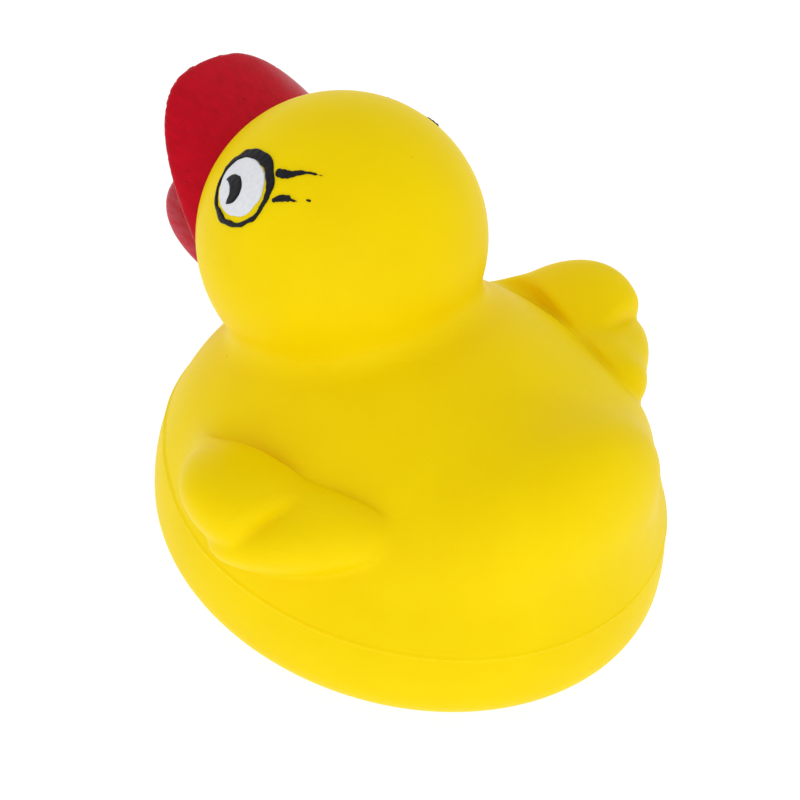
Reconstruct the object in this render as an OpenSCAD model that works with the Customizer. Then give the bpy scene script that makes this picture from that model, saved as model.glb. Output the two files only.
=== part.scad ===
// Squeaky bath duck: a hollow latex skin moulded in two halves that meet at a mould line,
// painted bill, eyes and lashes, and a reed squeaker pressed into the flat base.
// The bill points along -Y, the duck's left is +X, and the base stands on Z = 0.

/* [Body] */
// Length of the hull
body_l = 100; // [92:1:112]
// Width of the hull
body_w = 89; // [84:1:96]
// Height of the mould line above the floor
mould_z = 18; // [16:1:20]
// Depth of the widest level below the mould line
belly_drop = 8; // [6:1:9]
// Height of the middle of the back above the mould line
back_h = 33.8; // [32:0.2:35]
// Fullness of the hull's side below its widest level
hull_power = 2.9; // [2.2:0.1:3.6]
// Inset of the flat base from the widest level
base_inset = 6.8; // [5:0.2:10]

/* [Head] */
// Diameter of the head
head_d = 52; // [50:1:54]
// Distance of the head's centre ahead of the middle of the hull
head_fwd = 23.2; // [22:0.1:25]
// Height of the head's centre above the mould line
head_up = 39; // [37:0.5:41]

/* [Bill] */
// Half length of the upper bill's form
upper_bill_l = 29.5; // [27:0.5:31]
// Half width of the upper bill's form
upper_bill_w = 20.4; // [19:0.2:22]
// Half thickness of the upper bill's form
upper_bill_t = 9; // [8:0.2:10]
// Upward tilt of the upper bill in degrees
upper_bill_tilt = 30; // [26:1:32]
// Half length of the lower bill's form
lower_bill_l = 19.8; // [18:0.2:22]
// Half width of the lower bill's form
lower_bill_w = 16.6; // [15:0.2:18]
// Half thickness of the lower bill's form
lower_bill_t = 5.3; // [4.7:0.2:6]
// Upward tilt of the lower bill in degrees
lower_bill_tilt = 9; // [5:1:12]

/* [Wings] */
// Half length, half width and half thickness of the front feather lobe
front_lobe = [17.2, 26.3, 10.4];
// Half length, half width and half thickness of the rear feather lobe
rear_lobe = [14, 23.3, 7.6];
// Outward rise of the front lobe in degrees
front_lobe_rise = 32; // [26:1:36]

/* [Tail] */
// Half width of the tail's crest
tail_w = 17.5; // [15:0.5:20]
// Height of the tail's core above the mould line
tail_up = 20; // [18:0.5:22]

/* [Paint] */
// Width of the black ring round each eye
eye_w = 14; // [13:0.2:15]
// Height of the black ring round each eye
eye_h = 14.4; // [13:0.2:15]
// Direction of each eye, in degrees round from the bill
eye_round = 74; // [70:1:78]
// Direction of each eye, in degrees above the head's middle
eye_raise = 38.6; // [36:0.2:42]
// Thickness of one coat of paint
coat = 0.2; // [0.15:0.05:0.3]

/* [Skin and squeaker] */
// Thickness of the latex
skin = 1.6; // [1.3:0.1:2]
// Radius of the hole in the base that grips the squeaker
seat_r = 9; // [8.5:0.25:10]
// Width of the thick latex collar round that hole
collar_w = 2.5; // [2:0.25:3]
// Height of the squeaker's barrel
barrel_h = 8; // [7.5:0.5:9]
// Length of the reed that beats
reed_l = 8; // [7:0.5:9]
// Width of the reed
reed_w = 3.4; // [3:0.2:3.6]
// Thickness of the reed
reed_t = 0.25; // [0.2:0.05:0.3]

/* [Hidden] */
$fn = 64;

head_r = head_d / 2;
hull_a = body_l / 2;
hull_b = body_w / 2;
widest_z = mould_z - belly_drop;
base_a = hull_a - base_inset;
upper_bill_at = [14.5, 1.5];
lip_drop = 2.6;
lower_bill_at = [19.8, -9.6];
rump_r = [34, 24, 19];
rump_at = [-18.5, 10.8];
tail_r = [tail_w, 10.5, 12];
tail_back = 36;
bill_front = head_fwd + upper_bill_at[0]
  + norm([upper_bill_l * cos(upper_bill_tilt), upper_bill_t * sin(upper_bill_tilt)]);
mid_y = (bill_front - hull_a) / 2;
neck_at = [-3, 34];
neck_slope = 20;
flank_at = [26, 24];
flank_slope = 52;
yellow = "#f2d21c";
red = "#b80a22";
barrel_wall = 1.4;
barrel_z = 1;
plate_t = 1.2;
flange_w = 2;
tube_r = 3.2;
tube_bore = 2.2;
plate_z = barrel_z + barrel_h - plate_t;
tube_low = plate_z - 1.5;
window_z = barrel_z + barrel_h + 0.6;
pivot_z = window_z + 0.8 + reed_l;
tube_top = pivot_z + 2.2;
tube_cap = 0.8;
clamp_gap = 0.15;
reed_gap = 0.3;
hole_r = 0.9;
hole_ring_r = 4.4;
grille_t = 1.2;

// A point given as distance to the left, forward of the middle of the hull, and above the mould line
function at(left, forward, up) = [left, mid_y - forward, mould_z + up];

module ellipsoid(centre, radii, shrink = 0) {
  translate(centre) scale([for (r = radii) r - shrink]) sphere(r = 1);
}

// Points of half the hull's upright section, from the flat base up to the mould line
function hull_side(shrink) = [
  for (i = [0:12])
    let (t = i / 12, z = widest_z * (t - 1) + shrink * (1 - t))
    let (full = pow(abs(z) / widest_z, hull_power))
    [hull_a - shrink - base_inset * full, widest_z + z]
];
function hull_shoulder(shrink) = [
  for (i = [1:4])
    let (z = belly_drop * i / 4, h = back_h + belly_drop - shrink)
    [(hull_a - shrink) * sqrt(1 - pow(z / h, 2)), widest_z + z]
];

module hull_half(shrink, over = 0) {
  shoulder = hull_shoulder(shrink);
  rim_r = shoulder[len(shoulder) - 1][0];
  profile = concat([[0, shrink]], hull_side(shrink), shoulder, [[rim_r, mould_z + over], [0, mould_z + over]]);
  translate([0, mid_y, 0])
    scale([(hull_b - shrink) / (hull_a - shrink), 1, 1])
      rotate_extrude() polygon(profile);
}

module lobe(centre, radii, rise, turn, droop, shrink) {
  translate(centre) rotate([0, -rise, 0]) rotate([0, 0, turn]) rotate([droop, 0, 0])
    scale([radii[1] - shrink, radii[0] - shrink, radii[2] - shrink]) sphere(r = 1);
}

module wing(shrink) {
  lobe(at(28.8, -1.3, 8), front_lobe, front_lobe_rise, -4, -3, shrink);
  lobe(at(28.7, -12.4, 12), rear_lobe, 0.7, -25, 30, shrink);
}

module upper_bill_form(shrink) {
  translate(at(0, head_fwd + upper_bill_at[0], head_up + upper_bill_at[1]))
    rotate([-upper_bill_tilt, 0, 0])
      scale([upper_bill_w - shrink, upper_bill_l - shrink, upper_bill_t - shrink]) sphere(r = 1);
}

module lower_bill_form(shrink) {
  translate(at(0, head_fwd + lower_bill_at[0], head_up + lower_bill_at[1]))
    rotate([-lower_bill_tilt, 0, 0])
      scale([lower_bill_w - shrink, lower_bill_l - shrink, lower_bill_t - shrink]) sphere(r = 1);
}

module head_ball(grow) {
  translate(at(0, head_fwd, head_up)) sphere(r = head_r + grow);
}

module top_form(shrink) {
  ellipsoid([0, mid_y, widest_z], [hull_b, hull_a, back_h + belly_drop], shrink);
  ellipsoid(at(0, rump_at[0], rump_at[1]), rump_r, shrink);
  ellipsoid(at(0, -tail_back, tail_up), tail_r, shrink);
  head_ball(-shrink);
  wing(shrink);
  mirror([1, 0, 0]) wing(shrink);
}

// The half space above a plane that passes through a point and slopes down forward
module above_neck() {
  translate(at(0, neck_at[0], neck_at[1])) rotate([neck_slope, 0, 0])
    translate([-body_l, -body_l, 0]) cube([2 * body_l, 2 * body_l, 2 * body_l]);
}

// The half space outside a plane along the left flank
module beyond_flank() {
  translate(at(flank_at[0], 0, flank_at[1])) rotate([0, flank_slope, 0])
    translate([-body_l, -body_l, 0]) cube([2 * body_l, 2 * body_l, 2 * body_l]);
}

module top_skin() {
  difference() {
    intersection() {
      top_form(0);
      translate([-body_w, -body_l, mould_z]) cube([2 * body_w, 2 * body_l, 2 * body_l]);
    }
    top_form(skin);
  }
}

module head_skin() {
  color(yellow) intersection() {
    top_skin();
    above_neck();
  }
}

module wing_skin() {
  color(yellow) intersection() {
    difference() {
      top_skin();
      above_neck();
    }
    beyond_flank();
  }
}

module back_skin() {
  color(yellow) difference() {
    top_skin();
    above_neck();
    beyond_flank();
    mirror([1, 0, 0]) beyond_flank();
  }
}

module base_skin() {
  color(yellow) difference() {
    union() {
      difference() {
        hull_half(0);
        hull_half(skin, over = 1);
      }
      translate([0, mid_y, 0]) cylinder(r = seat_r + collar_w, h = plate_z);
    }
    translate([0, mid_y, -1]) cylinder(r = seat_r, h = mould_z);
  }
}

// The half space above the upper bill's flat underside
module above_lip() {
  translate(at(0, head_fwd + upper_bill_at[0], head_up + upper_bill_at[1])) rotate([-upper_bill_tilt, 0, 0])
    translate([-body_l, -body_l, -lip_drop]) cube([2 * body_l, 2 * body_l, body_l]);
}

module upper_bill() {
  color(red) difference() {
    intersection() {
      upper_bill_form(0);
      above_lip();
    }
    upper_bill_form(skin);
    head_ball(0);
  }
}

module lower_bill() {
  color(red) difference() {
    lower_bill_form(0);
    lower_bill_form(skin);
    head_ball(0);
    intersection() {
      upper_bill_form(0);
      above_lip();
    }
  }
}

// A coat of paint on the head, cut to the outline of its children, which are drawn flat
module coat_on_head(round, raise, low, high) {
  translate(at(0, head_fwd, head_up)) intersection() {
    difference() {
      sphere(r = head_r + high);
      sphere(r = head_r + low);
    }
    rotate([0, -raise, round - 90]) rotate([90, 0, 90]) linear_extrude(height = 2 * head_r) children();
  }
}

module oval(w, h) {
  scale([w / h, 1]) circle(d = h);
}

module eye_white_outline() {
  translate([-0.3, -0.2]) oval(11.4, 10.4);
}

module eye_white() {
  color("white") coat_on_head(eye_round, eye_raise, 0, coat) eye_white_outline();
}

module eye_ring() {
  color("#141416") coat_on_head(eye_round, eye_raise, 0, 1.5 * coat) difference() {
    oval(eye_w, eye_h);
    translate([0, -0.5]) oval(eye_w - 1.4, eye_h - 3.2);
    eye_white_outline();
  }
}

module pupil() {
  color("#141416") coat_on_head(eye_round, eye_raise, coat, 2 * coat) difference() {
    translate([-1.6, -1.7]) circle(d = 5.4);
    translate([-3.4, -4.2]) circle(d = 5.7);
  }
}

// Two brush strokes and a stray drop behind the eye
module lashes() {
  color("#141416") coat_on_head(eye_round + 27, eye_raise + 11.4, 0, coat) {
    polygon([[-3.5, 1.1], [-3.3, 2.3], [-2, 2.4], [0.2, 3.5], [4, 4.3], [0.8, 2.7], [-0.6, 1.4], [-2.8, 0.5]]);
    polygon([[-1.7, -3.6], [-1.4, -2.4], [0.4, -1.2], [1.4, -1.6], [2.6, -1.6], [0.8, -2.6], [-0.8, -3]]);
    translate([4.1, -0.6]) circle(d = 0.7);
  }
}

module squeaker_barrel() {
  color("whitesmoke") translate([0, mid_y, 0]) difference() {
    union() {
      translate([0, 0, barrel_z]) cylinder(r = seat_r, h = barrel_h);
      translate([0, 0, plate_z]) cylinder(r = seat_r + flange_w, h = plate_t);
    }
    translate([0, 0, -1]) cylinder(r = seat_r - barrel_wall, h = plate_z + 1);
    cylinder(r = tube_r, h = 2 * mould_z);
  }
}

module squeaker_grille() {
  color("whitesmoke") translate([0, mid_y, barrel_z]) difference() {
    cylinder(r = seat_r - barrel_wall, h = grille_t);
    translate([0, 0, -grille_t]) cylinder(r = hole_r, h = 3 * grille_t);
    for (a = [0:60:300])
      rotate([0, 0, a]) translate([hole_ring_r, 0, -grille_t]) cylinder(r = hole_r, h = 3 * grille_t);
  }
}

// Upright tube through the barrel's plate, with its front half cut away where the reed lies
module reed_tube() {
  color("gainsboro") translate([0, mid_y, 0]) difference() {
    translate([0, 0, tube_low]) cylinder(r = tube_r, h = tube_top - tube_low);
    translate([0, 0, tube_low - 1]) cylinder(r = tube_bore, h = tube_top - tube_cap - tube_low + 1);
    translate([-2 * tube_r, -4 * tube_r, window_z]) cube([4 * tube_r, 4 * tube_r, tube_top]);
  }
}

// Half-round wedge that holds the reed's root against the tube
module reed_clamp() {
  color("gainsboro") translate([0, mid_y, pivot_z + clamp_gap]) intersection() {
    cylinder(r = tube_r, h = tube_top - pivot_z - clamp_gap);
    translate([-tube_r, -tube_r, 0]) cube([2 * tube_r, tube_r, tube_top]);
  }
}

module reed() {
  color("#e8e8e2")
    translate([-reed_w / 2, mid_y - reed_gap - reed_t, pivot_z - reed_l]) cube([reed_w, reed_t, reed_l]);
}

module right_side() {
  mirror([1, 0, 0]) children();
}

head_skin();
back_skin();
wing_skin();  // left_wing_skin
right_side() wing_skin();  // right_wing_skin
base_skin();
upper_bill();
lower_bill();
eye_white();  // left_eye_white
right_side() eye_white();  // right_eye_white
eye_ring();  // left_eye_ring
right_side() eye_ring();  // right_eye_ring
pupil();  // left_pupil
right_side() pupil();  // right_pupil
lashes();  // left_lashes
right_side() lashes();  // right_lashes
squeaker_barrel();
squeaker_grille();
reed_tube();
reed_clamp();
reed();
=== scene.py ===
"""Looks of the squeaky latex duck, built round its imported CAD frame.

The duck's own directions are forward F, left L and up U, in millimetres of a 100 mm hull, counted
from the middle of the hull at the mould line. duck_to_frame() turns them into the CAD frame's metres.
"""

import bmesh
import bpy
import numpy as np
from mathutils import Matrix, Vector


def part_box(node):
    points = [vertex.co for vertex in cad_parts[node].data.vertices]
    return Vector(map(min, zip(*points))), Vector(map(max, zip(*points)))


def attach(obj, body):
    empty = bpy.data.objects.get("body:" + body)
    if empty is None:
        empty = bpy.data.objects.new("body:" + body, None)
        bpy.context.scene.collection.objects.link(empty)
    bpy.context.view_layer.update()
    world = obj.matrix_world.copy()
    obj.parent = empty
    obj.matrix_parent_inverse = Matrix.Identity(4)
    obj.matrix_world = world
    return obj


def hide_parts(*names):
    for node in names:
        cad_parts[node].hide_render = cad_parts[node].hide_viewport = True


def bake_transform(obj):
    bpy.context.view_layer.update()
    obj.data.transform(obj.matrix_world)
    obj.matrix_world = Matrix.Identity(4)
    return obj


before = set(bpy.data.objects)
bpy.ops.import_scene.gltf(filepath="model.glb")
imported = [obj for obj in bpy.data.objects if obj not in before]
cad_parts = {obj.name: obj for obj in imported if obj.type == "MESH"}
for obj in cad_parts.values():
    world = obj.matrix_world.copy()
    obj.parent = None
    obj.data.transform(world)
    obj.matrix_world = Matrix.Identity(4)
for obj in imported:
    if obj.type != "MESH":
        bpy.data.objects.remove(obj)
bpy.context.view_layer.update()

# ---------------------------------------- sizes, in millimetres of a 100 mm hull

HULL_LOW, HULL_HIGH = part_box("base_skin")
MM = (HULL_HIGH.y - HULL_LOW.y) / 100
MID_Y = (HULL_HIGH.y + HULL_LOW.y) / 2
MOULD_Z = HULL_HIGH.z

HULL = (50.0, 44.6)             # half length and half width of the hull at its widest level
BELLY_DROP = 8.0                # widest level, below the mould line
BACK_HEIGHT = 33.8              # middle of the back, above the mould line
FLOOR_DROP = 18.0               # flat base, below the mould line
HULL_POWER = 2.9                # fullness of the hull below its widest level
BASE_INSET = 6.8                # flat base's edge, in from the widest level
RUMP_AT, RUMP = (-18.5, 0.0, 10.8), (24.0, 34.0, 19.0)
TAIL_AT, TAIL = (-36.0, 0.0, 19.0), (8.1, 17.8, 11.2)
HEAD_AT, HEAD_R = (23.2, 0.0, 39.0), 26.0
FRONT_LOBE_AT, FRONT_LOBE = (-1.3, 28.8, 8.0), (17.2, 26.3, 10.4)
REAR_LOBE_AT, REAR_LOBE = (-11.6, 28.7, 12.0), (13.0, 23.3, 7.6)
# a ridge under the wing's upper edge, the upright plane that trims that edge, and the one where the
# front lobe ends
ROOT_FRONT, ROOT_REAR = (2.0, 36.0, 14.8), (-19.6, 32.0, 18.0)
ROOT_FRONT_R, ROOT_REAR_R = 4.4, 3.2
EDGE_AT, EDGE_WAY = (-23.6, 28.6, 22.6), (0.249, -0.968, 0.0)
NOTCH_AT, NOTCH_WAY = (-8.1, 49.3, 16.5), (-0.991, 0.132, 0.0)
NECK_FILLET = 5.0
LINE_CLIMB = 2.6                # rise of the moulded line round the breast
LINE_HEIGHT, LINE_WIDTH = 0.3, 0.34
SEAT_R = 9.0                    # hole in the base that grips the squeaker
SEAT_DEPTH = 8.9

COARSE_STEP = 1.0               # grid of the first mesh of a moulded form
LINE_BAND = 1.6                 # half height of the band of finer mesh at the mould line


def duck_to_frame(points):
    """Points (F, L, U) in millimetres as points of the CAD frame in metres."""
    p = np.asarray(points, float)
    return np.stack([p[..., 1] * MM, MID_Y - p[..., 0] * MM, MOULD_Z + p[..., 2] * MM], -1)


def duck_direction(d):
    """A direction (F, L, U) in the CAD frame."""
    return Vector((d[1], -d[0], d[2]))


# ---------------------------------------- signed distance fields


def turn(axis, degrees):
    """Rotation matrix about the duck's F, L or U axis."""
    c, s = np.cos(np.radians(degrees)), np.sin(np.radians(degrees))
    i, j = {"F": (1, 2), "L": (2, 0), "U": (0, 1)}[axis]
    m = np.eye(3)
    m[i, i] = m[j, j] = c
    m[i, j], m[j, i] = -s, s
    return m


def ellipsoid(p, centre, radii, rotation=None):
    q = p - np.array(centre)
    if rotation is not None:
        q = q @ rotation
    r = np.array(radii)
    near = np.sqrt(((q / r) ** 2).sum(-1))
    slope = np.sqrt(((q / r**2) ** 2).sum(-1))
    return near * (near - 1) / np.maximum(slope, 1e-9)


def join(a, b, radius):
    """Union of two fields with a fillet of about that radius."""
    h = np.clip(0.5 + 0.5 * (b - a) / radius, 0, 1)
    return b * (1 - h) + a * h - radius * h * (1 - h)


def cut(a, b, radius):
    """Field a with field b taken away, its edge rounded."""
    return -join(-a, b, radius)


def mirrored(p):
    """The same points on the duck's left side, so that one wing's field serves both."""
    return np.stack([p[..., 0], np.sqrt(p[..., 1] ** 2 + 1e-6), p[..., 2]], -1)


def hull_field(p):
    forward, left, up = p[..., 0], p[..., 1], p[..., 2]
    a, b = HULL
    below = np.clip(-(up + BELLY_DROP) / (FLOOR_DROP - BELLY_DROP), 0, 2)
    reach = 1 - BASE_INSET / a * below**HULL_POWER
    side = (np.sqrt((forward / a) ** 2 + (left / b) ** 2 + 1e-9) - reach) * b
    dome = ellipsoid(p, (0, 0, -BELLY_DROP), (a, b, BACK_HEIGHT + BELLY_DROP))
    return np.where(up >= -BELLY_DROP, dome, side)


def capsule(p, start, end, start_radius, end_radius):
    a, b = np.array(start), np.array(end)
    t = np.clip(((p - a) @ (b - a)) / ((b - a) @ (b - a)), 0, 1)
    off_axis = np.linalg.norm(p - a - t[..., None] * (b - a), axis=-1)
    return off_axis - start_radius - t * (end_radius - start_radius)


def beyond(p, at, way):
    """Below zero on the far side of a plane."""
    return -((p - np.array(at)) @ np.array(way))


def line_height(forward):
    """The moulded line is level along the flanks and climbs a little round the breast."""
    return LINE_CLIMB * np.clip((forward - 8) / 26, 0, 1)


FRONT_TURN = turn("F", 32) @ turn("U", -4) @ turn("L", -3)
REAR_TURN = turn("F", 0.7) @ turn("U", -25) @ turn("L", 30)


def wing_field(p):
    q = mirrored(p)
    front = ellipsoid(q, FRONT_LOBE_AT, FRONT_LOBE, FRONT_TURN)
    front = cut(front, beyond(q, NOTCH_AT, NOTCH_WAY), 1.8)
    rear = ellipsoid(q, REAR_LOBE_AT, REAR_LOBE, REAR_TURN)
    rear = join(rear, capsule(q, ROOT_FRONT, ROOT_REAR, ROOT_FRONT_R, ROOT_REAR_R), 5.0)
    return cut(join(rear, front, 0.8), beyond(q, EDGE_AT, EDGE_WAY) + 0.4, 1.0)


def head_field(p):
    return np.linalg.norm(p - np.array(HEAD_AT), axis=-1) - HEAD_R


def skin_field(p):
    """The whole moulding without its bill."""
    d = join(hull_field(p), ellipsoid(p, RUMP_AT, RUMP), 2.6)
    d = join(d, ellipsoid(p, TAIL_AT, TAIL), 12.0)
    d = join(d, head_field(p), NECK_FILLET)
    front = np.clip((p[..., 0] - 1) / 18, 0, 1)
    d = join(d, wing_field(p), 1.2 + 9 * front**2 * (3 - 2 * front))
    d = cut(d, p[..., 2] + FLOOR_DROP, 1.5)
    seat = np.maximum(np.hypot(p[..., 0], p[..., 1]) - SEAT_R, p[..., 2] + FLOOR_DROP - SEAT_DEPTH)
    d = cut(d, seat, 0.5)
    above = p[..., 2] - line_height(p[..., 0])
    bead = LINE_HEIGHT * np.exp(-((above / LINE_WIDTH) ** 2))
    step = 0.12 * np.tanh(above / 0.35) * np.clip(-p[..., 0] / 50, -1, 1)
    return d - bead - step


def bill_form(p, at, tilt, half, squareness, taper):
    """A flattened egg with a blunt tip, its half sizes given along, across and through the bill."""
    q = (p - (np.array(HEAD_AT) + np.array([at[0], 0, at[1]]))) @ turn("L", -tilt)
    along = q[..., 0] / half[0]
    across = q[..., 1] / (half[1] * (1 + taper * np.clip(along, -1.2, 1.2)))
    plan = (np.abs(along) ** squareness + np.abs(across) ** squareness + 1e-12) ** (1 / squareness)
    near = np.hypot(plan, q[..., 2] / half[2])
    reach = np.linalg.norm(q, axis=-1) / np.maximum(near, 1e-6)
    return (near - 1) * np.minimum(reach, 1.2 * half[2])


def upper_bill_field(p):
    form = bill_form(p, (19.2, -0.5), 29.6, (32.4, 20.0, 9.0), 2.7, -0.2)
    slope = np.radians(38.6)
    ahead, above = p[..., 0] - HEAD_AT[0] - 18.2, p[..., 2] - HEAD_AT[2] + 0.5
    roof = above * np.cos(slope) - ahead * np.sin(slope) + 0.002 * p[..., 1] ** 2
    return cut(form, roof, 1.5)


def lower_bill_field(p):
    form = bill_form(p, (19.8, -9.6), 9.6, (19.8, 16.6, 5.3), 2.3, 0.0)
    ahead, above = p[..., 0] - HEAD_AT[0] - 19.8, p[..., 2] - HEAD_AT[2] + 8.4
    dish = -(above - 0.17 * ahead - 0.006 * p[..., 1] ** 2)
    return cut(form, dish, 1.2)


# ---------------------------------------- meshes of the fields


def surface_nets(field, low, high, step):
    """Quads round the zero level of a field, one vertex in each grid cell that the surface crosses."""
    axes = [np.arange(low[k], high[k] + step, step) for k in range(3)]
    grid = np.stack(np.meshgrid(*axes, indexing="ij"), -1)
    v = field(grid)
    inside = v < 0
    n = np.array(v.shape) - 1
    total = np.zeros(tuple(n) + (3,))
    count = np.zeros(tuple(n))
    for axis in range(3):
        others = [k for k in range(3) if k != axis]
        here = [slice(None)] * 3
        there = [slice(None)] * 3
        here[axis], there[axis] = slice(0, -1), slice(1, None)
        a, b = v[tuple(here)], v[tuple(there)]
        crossed = inside[tuple(here)] != inside[tuple(there)]
        t = np.where(crossed, a / np.where(crossed, a - b, 1), 0)
        for i in (0, 1):
            for j in (0, 1):
                part = [slice(None)] * 3
                part[others[0]] = slice(i, i + n[others[0]])
                part[others[1]] = slice(j, j + n[others[1]])
                c, w = crossed[tuple(part)], t[tuple(part)]
                count += c
                total[..., axis] += c * w
                total[..., others[0]] += c * i
                total[..., others[1]] += c * j
    used = count > 0
    index = np.full(tuple(n), -1)
    index[used] = np.arange(used.sum())
    cells = np.argwhere(used)
    points = np.array(low) + step * (cells + total[used] / count[used][:, None])
    quads = []
    for axis in range(3):
        b, c = (axis + 1) % 3, (axis + 2) % 3
        here = [slice(1, -1)] * 3
        there = [slice(1, -1)] * 3
        here[axis], there[axis] = slice(0, -1), slice(1, None)
        starts = np.argwhere(inside[tuple(here)] != inside[tuple(there)])
        corner = starts.copy()
        corner[:, b] += 1
        corner[:, c] += 1
        outward = inside[tuple(corner.T)]
        ring = []
        for db, dc in ((1, 1), (0, 1), (0, 0), (1, 0)):
            cell = corner.copy()
            cell[:, b] -= db
            cell[:, c] -= dc
            ring.append(index[tuple(cell.T)])
        quad = np.stack(ring, -1)
        quad[~outward] = quad[~outward][:, ::-1]
        quads.append(quad)
    return points, np.concatenate(quads)


def settle(field, points, rounds=4):
    """Moves points on to the field's zero level."""
    step = 0.08
    for _ in range(rounds):
        d = field(points)
        slope = np.stack(
            [(field(points + step * e) - field(points - step * e)) / (2 * step) for e in np.eye(3)], -1
        )
        points = points - (d / np.maximum((slope**2).sum(-1), 1e-6))[:, None] * slope
    return points


def mesh_from(points, faces, name):
    mesh = bpy.data.meshes.new(name)
    mesh.from_pydata([tuple(x) for x in points], [], [tuple(int(i) for i in f) for f in faces])
    mesh.validate()
    return mesh


def moulded(name, field, low, high, step, refine=None):
    """A smooth closed mesh of a field: nets, one even subdivision, finer mesh where refine() says so."""
    points, quads = surface_nets(field, low, high, step)
    mesh = mesh_from(points, quads, name)
    bm = bmesh.new()
    bm.from_mesh(mesh)
    bmesh.ops.subdivide_edges(bm, edges=bm.edges[:], cuts=1, use_grid_fill=True)
    for wanted in refine or ():
        edges = [e for e in bm.edges if all(wanted(v.co) for v in e.verts)]
        bmesh.ops.subdivide_edges(bm, edges=edges, cuts=1, use_grid_fill=True)
    bmesh.ops.recalc_face_normals(bm, faces=bm.faces[:])
    bm.to_mesh(mesh)
    bm.free()
    co = np.zeros(len(mesh.vertices) * 3)
    mesh.vertices.foreach_get("co", co)
    co = settle(field, co.reshape(-1, 3))
    mesh.vertices.foreach_set("co", duck_to_frame(co).ravel())
    return finished(name, mesh, flip=True)


def finished(name, mesh, flip=False):
    """An object with smooth faces whose normals look outward."""
    bm = bmesh.new()
    bm.from_mesh(mesh)
    bmesh.ops.recalc_face_normals(bm, faces=bm.faces[:])
    for face in bm.faces:
        face.smooth = True
    bm.to_mesh(mesh)
    bm.free()
    obj = bpy.data.objects.new(name, mesh)
    bpy.context.scene.collection.objects.link(obj)
    return obj


# ---------------------------------------- paint coats on the head


def head_axes(round_deg, raise_deg, side):
    """A point of the head's surface as unit vectors: outward, backward along the side, and upward."""
    a, e = np.radians(round_deg), np.radians(raise_deg)
    out = np.array([np.cos(e) * np.cos(a), np.cos(e) * np.sin(a), np.sin(e)])
    back = np.array([-np.sin(a), np.cos(a), 0.0])
    up = np.array([-np.sin(e) * np.cos(a), -np.sin(e) * np.sin(a), np.cos(e)])
    flip = np.array([1, side, 1])
    return out * flip, back * flip, up * flip


def head_points(u, v, lift, axes):
    """Flat paint coordinates, in millimetres along the surface, as points at some lift from the head."""
    out, back, up = axes
    reach = np.hypot(u, v) + 1e-9
    angle = reach / HEAD_R
    side = (u[:, None] * back + v[:, None] * up) / reach[:, None]
    direction = out * np.cos(angle)[:, None] + side * np.sin(angle)[:, None]
    return np.array(HEAD_AT) + direction * (HEAD_R + lift)[:, None]


def oval(u, v, at, half, lean=0.0):
    """Distance to an oval's edge, below zero inside it."""
    c, s = np.cos(np.radians(lean)), np.sin(np.radians(lean))
    x, y = (u - at[0]) * c + (v - at[1]) * s, -(u - at[0]) * s + (v - at[1]) * c
    near = np.sqrt((x / half[0]) ** 2 + (y / half[1]) ** 2)
    slope = np.sqrt((x / half[0] ** 2) ** 2 + (y / half[1] ** 2) ** 2)
    return near * (near - 1) / np.maximum(slope, 1e-9)


def stroke(u, v, points):
    """Distance to a brush stroke through points (u, v, half width)."""
    best = np.full(u.shape, 99.0)
    for (u0, v0, r0), (u1, v1, r1) in zip(points, points[1:]):
        du, dv = u1 - u0, v1 - v0
        t = np.clip(((u - u0) * du + (v - v0) * dv) / (du**2 + dv**2 + 1e-9), 0, 1)
        best = np.minimum(best, np.hypot(u - u0 - t * du, v - v0 - t * dv) - (r0 + t * (r1 - r0)))
    return best


def wobble(u, v, seed, size, amount):
    """Smooth unevenness of a hand-painted edge."""
    random = np.random.default_rng(seed)
    total = np.zeros(np.shape(u))
    for k in range(6):
        angle, phase = random.uniform(0, 2 * np.pi, 2)
        wave = 2 * np.pi / (size * random.uniform(0.6, 1.6))
        total += np.sin(wave * (u * np.cos(angle) + v * np.sin(angle)) + phase)
    return amount * total / 3


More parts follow.
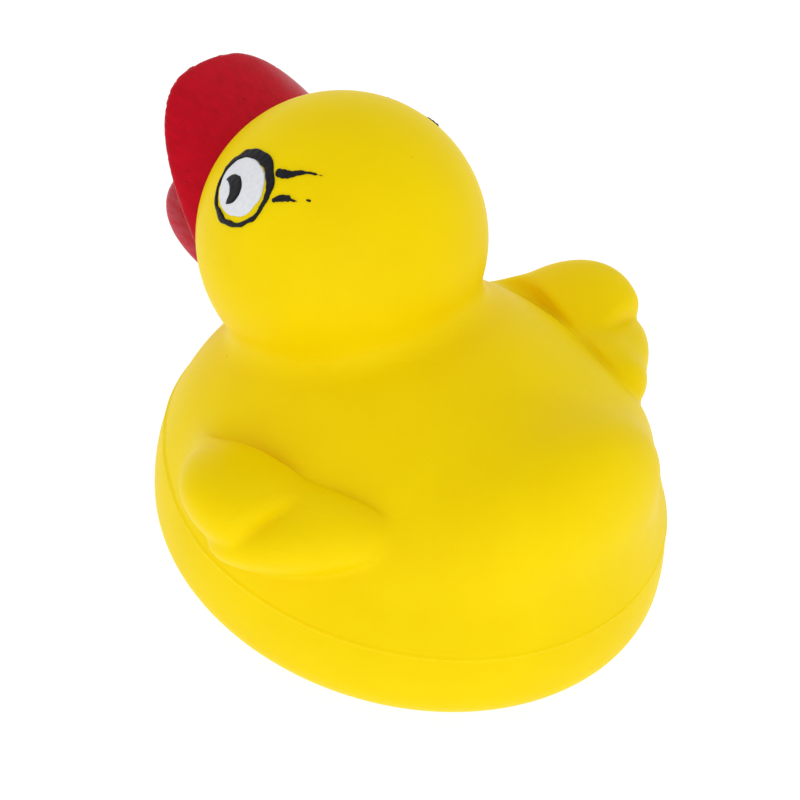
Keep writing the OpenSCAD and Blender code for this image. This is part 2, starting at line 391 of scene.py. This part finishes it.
def coat(name, shape, box, axes, low, thick, body, node, step=0.16, soft=0.3):
    """A thin closed solid of paint, where shape(u, v) is below zero on a flat grid laid on the head."""
    us = np.arange(box[0], box[1] + step, step)
    vs = np.arange(box[2], box[3] + step, step)
    u, v = (g.ravel() for g in np.meshgrid(us, vs, indexing="ij"))
    f = shape(u, v)
    columns = len(vs)
    points, field = list(zip(u, v)), list(f)
    crossing = {}

    def crossed(a, b):
        key = (min(a, b), max(a, b))
        if key not in crossing:
            t = field[a] / (field[a] - field[b])
            crossing[key] = len(points)
            points.append(tuple(points[a][k] + t * (points[b][k] - points[a][k]) for k in (0, 1)))
            field.append(0.0)
        return crossing[key]

    faces = []
    for i in range(len(us) - 1):
        for j in range(columns - 1):
            a = i * columns + j
            corners = [a, a + columns, a + columns + 1, a + 1]
            signs = [field[c] < 0 for c in corners]
            if not any(signs):
                continue
            if all(signs):
                faces.append(corners)
                continue
            for triangle in ([corners[0], corners[1], corners[2]], [corners[0], corners[2], corners[3]]):
                outline = []
                for k in range(3):
                    p, q = triangle[k], triangle[(k + 1) % 3]
                    if field[p] < 0:
                        outline.append(p)
                    if (field[p] < 0) != (field[q] < 0):
                        outline.append(crossed(p, q))
                if len(outline) >= 3:
                    faces.append(outline)
    used = sorted({i for face in faces for i in face})
    order = {old: new for new, old in enumerate(used)}
    faces = [[order[i] for i in face] for face in faces]
    flat = np.array([points[i] for i in used])
    depth = np.clip(-np.array([field[i] for i in used]) / soft, 0, 1)
    rise = thick * np.sqrt(depth * (2 - depth)) * (1 + wobble(flat[:, 0], flat[:, 1], 7, 1.1, 0.12))
    top = head_points(flat[:, 0], flat[:, 1], low + 0.01 + rise, axes)
    bottom = head_points(flat[:, 0], flat[:, 1], np.full(len(flat), low - 0.08), axes)
    count = len(flat)
    edges = {}
    for face in faces:
        for p, q in zip(face, face[1:] + face[:1]):
            edges[(p, q)] = True
    rim = [(p, q) for (p, q) in edges if (q, p) not in edges]
    solid = list(faces)
    solid += [[i + count for i in reversed(face)] for face in faces]
    solid += [[q, p, p + count, q + count] for p, q in rim]
    mesh = mesh_from(duck_to_frame(np.concatenate([top, bottom])), solid, name)
    obj = finished(name, mesh)
    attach(obj, body)
    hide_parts(node)
    return obj


# ---------------------------------------- materials


def new_material(name):
    material = bpy.data.materials.new(name)
    material.use_nodes = True
    tree = material.node_tree
    return material, tree, tree.nodes["Principled BSDF"]


def node(tree, kind, **values):
    n = tree.nodes.new(kind)
    for key, value in values.items():
        if key in n.inputs:
            n.inputs[key].default_value = value
        else:
            setattr(n, key, value)
    return n


def scaled_position(tree, scale=(1, 1, 1)):
    """Object coordinates in millimetres, stretched by scale."""
    coordinates = node(tree, "ShaderNodeTexCoord")
    mapping = node(tree, "ShaderNodeMapping", Scale=[1000 * s for s in scale])
    tree.links.new(coordinates.outputs["Object"], mapping.inputs["Vector"])
    return mapping.outputs["Vector"]


def noise(tree, position, scale, detail=3.0, roughness=0.55):
    n = node(tree, "ShaderNodeTexNoise", Scale=scale, Detail=detail, Roughness=roughness)
    tree.links.new(position, n.inputs["Vector"])
    return n.outputs["Fac"]


def levels(tree, value, low, high, out_low=0.0, out_high=1.0):
    n = node(tree, "ShaderNodeMapRange")
    n.inputs["From Min"].default_value = low
    n.inputs["From Max"].default_value = high
    n.inputs["To Min"].default_value = out_low
    n.inputs["To Max"].default_value = out_high
    tree.links.new(value, n.inputs["Value"])
    return n.outputs["Result"]


def mixed(tree, factor, a, b):
    """Colour a where factor is 0 and b where it is 1; either may be a colour or an output."""
    n = node(tree, "ShaderNodeMix", data_type="RGBA")
    tree.links.new(factor, n.inputs[0])
    for socket, value in ((n.inputs[6], a), (n.inputs[7], b)):
        if isinstance(value, bpy.types.NodeSocket):
            tree.links.new(value, socket)
        else:
            socket.default_value = (*value, 1)
    return n.outputs[2]


def add_bump(tree, shader, height, strength, distance, before=None):
    n = node(tree, "ShaderNodeBump", Strength=strength, Distance=distance)
    tree.links.new(height, n.inputs["Height"])
    if before is not None:
        tree.links.new(before, n.inputs["Normal"])
    tree.links.new(n.outputs["Normal"], shader.inputs["Normal"])
    return n.outputs["Normal"]


def latex_material():
    material, tree, shader = new_material("yellow_latex")
    position = scaled_position(tree)
    cloud = levels(tree, noise(tree, position, 0.045, 2), 0.35, 0.65)
    colour = mixed(tree, cloud, (0.885, 0.645, 0.0), (0.92, 0.68, 0.0))
    dots = node(tree, "ShaderNodeTexVoronoi", Scale=0.11)
    tree.links.new(position, dots.inputs["Vector"])
    # pinholes in the latex: the colour in them is darkened towards a deep ochre as painted shade, and the
    # last bump sinks them
    pit = levels(tree, dots.outputs["Distance"], 0.016, 0.03, 1, 0)
    colour = mixed(tree, levels(tree, pit, 0, 1, 0, 0.35), colour, (0.35, 0.20, 0.003))
    tree.links.new(colour, shader.inputs["Base Color"])
    shader.inputs["Roughness"].default_value = 0.44
    shader.inputs["Specular IOR Level"].default_value = 0.05
    shader.inputs["Subsurface Weight"].default_value = 0.22
    shader.inputs["Subsurface Radius"].default_value = (1.0, 0.62, 0.08)
    shader.inputs["Subsurface Scale"].default_value = 0.0022
    grain = add_bump(tree, shader, noise(tree, position, 2.4, 4), 0.10, 0.0002)
    grain = add_bump(tree, shader, noise(tree, position, 0.30, 2), 0.22, 0.0004, grain)
    add_bump(tree, shader, pit, -0.6, 0.0002, grain)
    return material


def red_material(name, along, sheen_from, sheen_to):
    """Brushed red with a painted sheen: pale pink streaks standing in for reflected light fade in between
    two places, in mm to the duck's left.
    """
    material, tree, shader = new_material(name)
    position = scaled_position(tree, along)
    plain = scaled_position(tree)
    streak = noise(tree, position, 0.9, 5, 0.6)
    colour = mixed(tree, levels(tree, streak, 0.35, 0.7), (0.56, 0.0, 0.012), (0.45, 0.0, 0.010))
    sides = node(tree, "ShaderNodeSeparateXYZ")
    tree.links.new(plain, sides.inputs[0])
    # painted sheen: a pale pink reflection painted into the red, fading in towards one side of the bill and
    # following the brush streaks
    painted_sheen = node(tree, "ShaderNodeMath", operation="MULTIPLY")
    tree.links.new(levels(tree, sides.outputs["X"], sheen_from, sheen_to), painted_sheen.inputs[0])
    tree.links.new(levels(tree, streak, 0.36, 0.62, 0.25, 1.0), painted_sheen.inputs[1])
    colour = mixed(tree, painted_sheen.outputs[0], colour, (0.56, 0.11, 0.15))
    tree.links.new(colour, shader.inputs["Base Color"])
    rough = levels(tree, noise(tree, plain, 0.35, 3), 0.3, 0.7, 0.24, 0.38)
    tree.links.new(rough, shader.inputs["Roughness"])
    shader.inputs["Specular IOR Level"].default_value = 0.1
    shader.inputs["Subsurface Weight"].default_value = 0.08
    shader.inputs["Subsurface Radius"].default_value = (1.0, 0.1, 0.1)
    shader.inputs["Subsurface Scale"].default_value = 0.0012
    lines = add_bump(tree, shader, streak, 0.25, 0.0003)
    bubbles = node(tree, "ShaderNodeTexVoronoi", Scale=0.42)
    tree.links.new(plain, bubbles.inputs["Vector"])
    blister = levels(tree, bubbles.outputs["Distance"], 0.03, 0.12, 1, 0)
    sparse = levels(tree, noise(tree, plain, 0.12, 1), 0.5, 0.6)
    raised = node(tree, "ShaderNodeMath", operation="MULTIPLY")
    tree.links.new(blister, raised.inputs[0])
    tree.links.new(sparse, raised.inputs[1])
    add_bump(tree, shader, raised.outputs[0], 0.8, 0.0003, lines)
    return material


def paint_material(name, light, dark, roughness):
    """Brush-laid eye paint: slight streaks of a second shade and a soft unevenness."""
    material, tree, shader = new_material(name)
    streak = noise(tree, scaled_position(tree, (1, 1, 0.4)), 1.6, 4)
    colour = mixed(tree, levels(tree, streak, 0.3, 0.7), light, dark)
    tree.links.new(colour, shader.inputs["Base Color"])
    patches = noise(tree, scaled_position(tree), 1.1, 2)
    gloss = levels(tree, patches, 0.3, 0.7, roughness - 0.06, roughness + 0.08)
    tree.links.new(gloss, shader.inputs["Roughness"])
    shader.inputs["Specular IOR Level"].default_value = 0.12
    add_bump(tree, shader, streak, 0.25, 0.0002)
    return material


def plastic_material(name, colour, shade, roughness, scatter):
    """Moulded squeaker plastic with flow marks and a fine spark-eroded grain."""
    material, tree, shader = new_material(name)
    position = scaled_position(tree)
    flow = noise(tree, position, 0.25, 3)
    tree.links.new(mixed(tree, levels(tree, flow, 0.3, 0.7), colour, shade), shader.inputs["Base Color"])
    gloss = levels(tree, flow, 0.3, 0.7, roughness - 0.05, roughness + 0.07)
    tree.links.new(gloss, shader.inputs["Roughness"])
    shader.inputs["Subsurface Weight"].default_value = scatter
    shader.inputs["Subsurface Radius"].default_value = (1, 1, 0.9)
    shader.inputs["Subsurface Scale"].default_value = 0.001
    add_bump(tree, shader, noise(tree, position, 5, 2), 0.12, 0.0001)
    return material


def dress(obj, material):
    obj.data.materials.clear()
    obj.data.materials.append(material)


# ---------------------------------------- pieces


def make_skin(material):
    def at_mould_line(co):
        return abs(co.z - line_height(co.x)) < LINE_BAND

    low, high = (-54, -55, -20), (54, 55, 69)
    skin = moulded("latex_skin", skin_field, low, high, COARSE_STEP, [at_mould_line])
    dress(skin, material)
    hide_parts("head_skin", "back_skin", "left_wing_skin", "right_wing_skin", "base_skin")
    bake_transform(skin)
    return skin


def make_bills(upper_material, lower_material):
    centre = np.array(HEAD_AT)

    def painted(form):
        def field(p):
            head = head_field(p)
            return np.maximum(join(form(p), head, 1.6), -(head - 0.06))

        return field

    low, high = centre + (2, -24, -22), centre + (46, 24, 24)
    for name, form, material in (
        ("upper_bill", upper_bill_field, upper_material),
        ("lower_bill", lower_bill_field, lower_material),
    ):
        bill = moulded(f"painted_{name}", form, low, high, 0.9)
        dress(bill, material)
        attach(bill, "crown")
        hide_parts(name)


# directions of the paint, in degrees round from the bill and above the head's middle; the right side is
# painted lower and further forward
LEFT_EYE, LEFT_LASHES = (73.7, 38.9), (101.0, 50.0)
RIGHT_EYE, RIGHT_LASHES = (63.0, 31.0), (87.5, 34.5)
# brush strokes of the lashes: backward, upward, half width
UPPER_LASH = ((-3.1, 1.35, 0.9), (-1.4, 1.75, 0.7), (0.3, 3.0, 0.42), (1.8, 3.7, 0.2), (4.0, 4.3, 0.08))
LOWER_LASH = ((-1.5, -3.2, 0.4), (-0.5, -2.4, 0.58), (0.7, -1.9, 0.6), (1.5, -1.85, 0.22), (2.6, -1.6, 0.07))
LASH_SPOT = ((3.9, -0.65, 0.2), (4.4, -0.55, 0.24))


def make_eye(side, name, at, lashes_at, white, black):
    seed = 11 if side > 0 else 23
    eye = head_axes(*at, side)
    lash = head_axes(*lashes_at, side)

    def white_shape(u, v):
        return oval(u, v, (-0.25, -0.25), (5.75, 5.2)) + wobble(u, v, seed, 3.2, 0.13)

    def ring_shape(u, v):
        outer = oval(u, v, (0.1, -0.1), (6.95, 7.2), 30) + wobble(u, v, seed + 1, 3.0, 0.16)
        inner = oval(u, v, (0.15, -0.6), (6.25, 5.55)) + wobble(u, v, seed + 2, 2.2, 0.14)
        return np.maximum(outer, -inner)

    def pupil_shape(u, v):
        full = oval(u, v, (-1.4, -1.85), (2.7, 2.7))
        notch = oval(u, v, (-3.25, -4.4), (2.85, 2.85))
        return np.maximum(full, -notch) + wobble(u, v, seed + 3, 1.6, 0.07)

    def lash_shape(u, v):
        upper = stroke(u, v, UPPER_LASH)
        lower = stroke(u, v, LOWER_LASH)
        spot = stroke(u, v, LASH_SPOT)
        return np.minimum(np.minimum(upper, lower), spot) + wobble(u, v, seed + 4, 1.5, 0.08)

    box = (-7.8, 7.8, -8.2, 8.2)
    for part, shape, area, axes, low, thick, material in (
        ("eye_white", white_shape, box, eye, 0.0, 0.16, white),
        ("eye_ring", ring_shape, box, eye, 0.0, 0.26, black),
        ("pupil", pupil_shape, box, eye, 0.14, 0.2, black),
        ("lashes", lash_shape, (-5.5, 6, -5.5, 5.5), lash, 0.0, 0.22, black),
    ):
        replaced = f"{name}_{part}"
        obj = coat(f"{replaced}_paint", shape, area, axes, low, thick, "crown", replaced)
        dress(obj, material)


def make_squeaker():
    white = plastic_material("white_plastic", (0.80, 0.80, 0.77), (0.74, 0.74, 0.70), 0.34, 0.1)
    clear = plastic_material("clear_plastic", (0.60, 0.61, 0.59), (0.52, 0.53, 0.52), 0.26, 0.3)
    film = plastic_material("reed_film", (0.75, 0.76, 0.72), (0.66, 0.67, 0.63), 0.4, 0.2)
    for name, material in (
        ("squeaker_barrel", white),
        ("squeaker_grille", white),
        ("reed_tube", clear),
        ("reed_clamp", clear),
        ("reed", film),
    ):
        dress(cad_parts[name], material)


# ---------------------------------------- camera, light and floor


def make_camera():
    """A long lens behind the duck's left side, well above it."""
    azimuth, elevation, roll = np.radians([132.8, 40.85, 6.4])
    toward = np.array(
        [np.cos(azimuth) * np.cos(elevation), np.sin(azimuth) * np.cos(elevation), np.sin(elevation)]
    )
    level = np.array([-np.sin(azimuth), np.cos(azimuth), 0])
    upright = np.cross(toward, level)
    right = np.cos(roll) * level + np.sin(roll) * upright
    top = -np.sin(roll) * level + np.cos(roll) * upright
    place = toward * 416.0 + right * -2.2 + top * 12.6
    camera = bpy.data.objects.new("camera", bpy.data.cameras.new("camera"))
    bpy.context.scene.collection.objects.link(camera)
    camera.data.sensor_width = 36
    camera.data.lens = 18 / np.tan(np.radians(10))
    camera.data.clip_start = 0.01
    columns = [duck_direction(d) for d in (right, top, toward)]
    rotation = Matrix(columns).transposed().to_4x4()
    camera.matrix_world = Matrix.Translation(Vector(duck_to_frame(place))) @ rotation
    bpy.context.scene.camera = camera


def area_light(name, direction, distance, size, power):
    """A soft square light that looks at the duck from a direction given in the CAD frame."""
    light = bpy.data.objects.new(name, bpy.data.lights.new(name, "AREA"))
    light.data.size = size
    light.data.energy = power
    target = Vector((0, 0, 0.04))
    way = Vector(direction).normalized()
    light.location = target + way * distance
    light.rotation_euler = way.to_track_quat("Z", "Y").to_euler()
    bpy.context.scene.collection.objects.link(light)


def make_studio():
    """An even white room, a little darker overhead, round a glowing white table."""
    world = bpy.data.worlds.new("studio")
    world.use_nodes = True
    tree = world.node_tree
    background = tree.nodes["Background"]
    way = node(tree, "ShaderNodeTexCoord").outputs["Generated"]
    split = node(tree, "ShaderNodeSeparateXYZ")
    tree.links.new(way, split.inputs[0])
    strength = levels(tree, split.outputs["Z"], 0.0, 1.0, 1.0, 0.72)
    tree.links.new(strength, background.inputs["Strength"])
    background.inputs["Color"].default_value = (1, 1, 1, 1)
    bpy.context.scene.world = world
    area_light("key", (0.75, 0.95, 0.30), 0.8, 0.7, 1.1)
    mesh = bpy.data.meshes.new("floor")
    half = 3.0
    corners = [(-half, -half, 0), (half, -half, 0), (half, half, 0), (-half, half, 0)]
    mesh.from_pydata(corners, [], [(0, 1, 2, 3)])
    floor = bpy.data.objects.new("floor", mesh)
    bpy.context.scene.collection.objects.link(floor)
    material, tree, shader = new_material("pale_floor")
    tone = levels(tree, noise(tree, scaled_position(tree), 0.004, 2), 0.3, 0.7)
    grey = mixed(tree, tone, (0.20, 0.20, 0.20), (0.22, 0.22, 0.22))
    tree.links.new(grey, shader.inputs["Base Color"])
    shader.inputs["Roughness"].default_value = 0.9
    shader.inputs["Specular IOR Level"].default_value = 0.1
    shader.inputs["Emission Color"].default_value = (1, 1, 1, 1)
    shader.inputs["Emission Strength"].default_value = 0.92
    dress(floor, material)
    bpy.context.scene.view_settings.view_transform = "Standard"


make_camera()
make_studio()
make_skin(latex_material())
# the last two numbers say where the painted sheen fades in: towards the duck's right on the upper bill, and
# over most of the lower bill
upper_red = red_material("red_upper", (1, 0.25, 1), -9, -19)
lower_red = red_material("red_lower", (1, 0.25, 1), 30, 4)
make_bills(upper_red, lower_red)
white_paint = paint_material("white_paint", (0.80, 0.81, 0.84), (0.72, 0.74, 0.79), 0.35)
black_paint = paint_material("black_paint", (0.006, 0.006, 0.009), (0.014, 0.014, 0.018), 0.34)
make_eye(1, "left", LEFT_EYE, LEFT_LASHES, white_paint, black_paint)
make_eye(-1, "right", RIGHT_EYE, RIGHT_LASHES, white_paint, black_paint)
make_squeaker()
